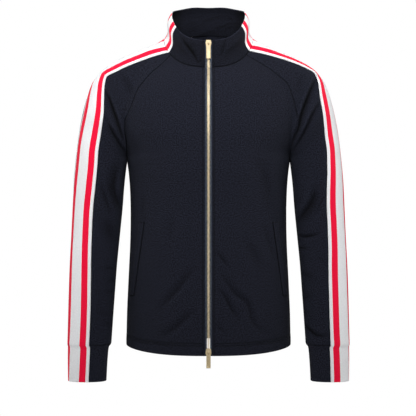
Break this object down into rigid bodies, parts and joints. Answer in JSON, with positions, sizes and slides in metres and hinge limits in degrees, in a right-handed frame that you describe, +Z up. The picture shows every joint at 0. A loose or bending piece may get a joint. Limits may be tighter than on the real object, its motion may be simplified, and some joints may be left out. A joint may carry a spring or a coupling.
{
  "type": "zip-front track jacket with stand collar",
  "caption": "Worn-form knit track jacket with raglan sleeves, striped sleeve tapes, stand collar, long plain cuffs, slanted welt pockets and a full two-way metal zip.",
  "frame": {"origin": "middle of the neck, level with the points where the shoulders meet the collar, where a wearer's shoulders hold the jacket up", "axes": "+Z up along the jacket, from hem to collar; -Y is the front with the zip; +X is the wearer's left"},
  "size_m": [0.6093, 0.2371, 0.8257],
  "materials": {
    "navy_knit": "matt navy loop-back knit",
    "stripe_knit": "white knitted tape with red bands",
    "zip_cloth": "dark woven zip tape",
    "gold_metal": "polished pale gold zip metal"
  },
  "bodies": {
    "garment": {"back": "navy_knit", "front_left": "navy_knit", "front_right": "navy_knit", "sleeve_front_left": "navy_knit", "sleeve_front_right": "navy_knit", "sleeve_back_left": "navy_knit", "sleeve_back_right": "navy_knit", "stripe_sleeve_left": "stripe_knit", "stripe_sleeve_right": "stripe_knit", "cuff_left": "navy_knit", "cuff_right": "navy_knit", "collar_back": "navy_knit", "collar_front_left": "navy_knit", "collar_front_right": "navy_knit", "stripe_collar_left": "stripe_knit", "stripe_collar_right": "stripe_knit", "pocket_welt_left": "navy_knit", "pocket_welt_right": "navy_knit", "zip_tape_left": "zip_cloth", "zip_tape_right": "zip_cloth", "zip_chain": "gold_metal", "slider_top": "gold_metal", "slider_bottom": "gold_metal"},
    "pull_top": {"pull_top": "gold_metal"},
    "pull_bottom": {"pull_bottom": "gold_metal"}
  },
  "joints": [
    {"name": "pull_top_swing", "type": "hinge", "parent": "garment", "child": "pull_top", "pos_m": [0, -0.08156, -0.01756], "axis": [-1, 0, 0], "range_deg": [0, 150]},
    {"name": "pull_bottom_swing", "type": "hinge", "parent": "garment", "child": "pull_bottom", "pos_m": [0, -0.11826, -0.66972], "axis": [-1, 0, 0], "range_deg": [0, 150]}
  ]
}
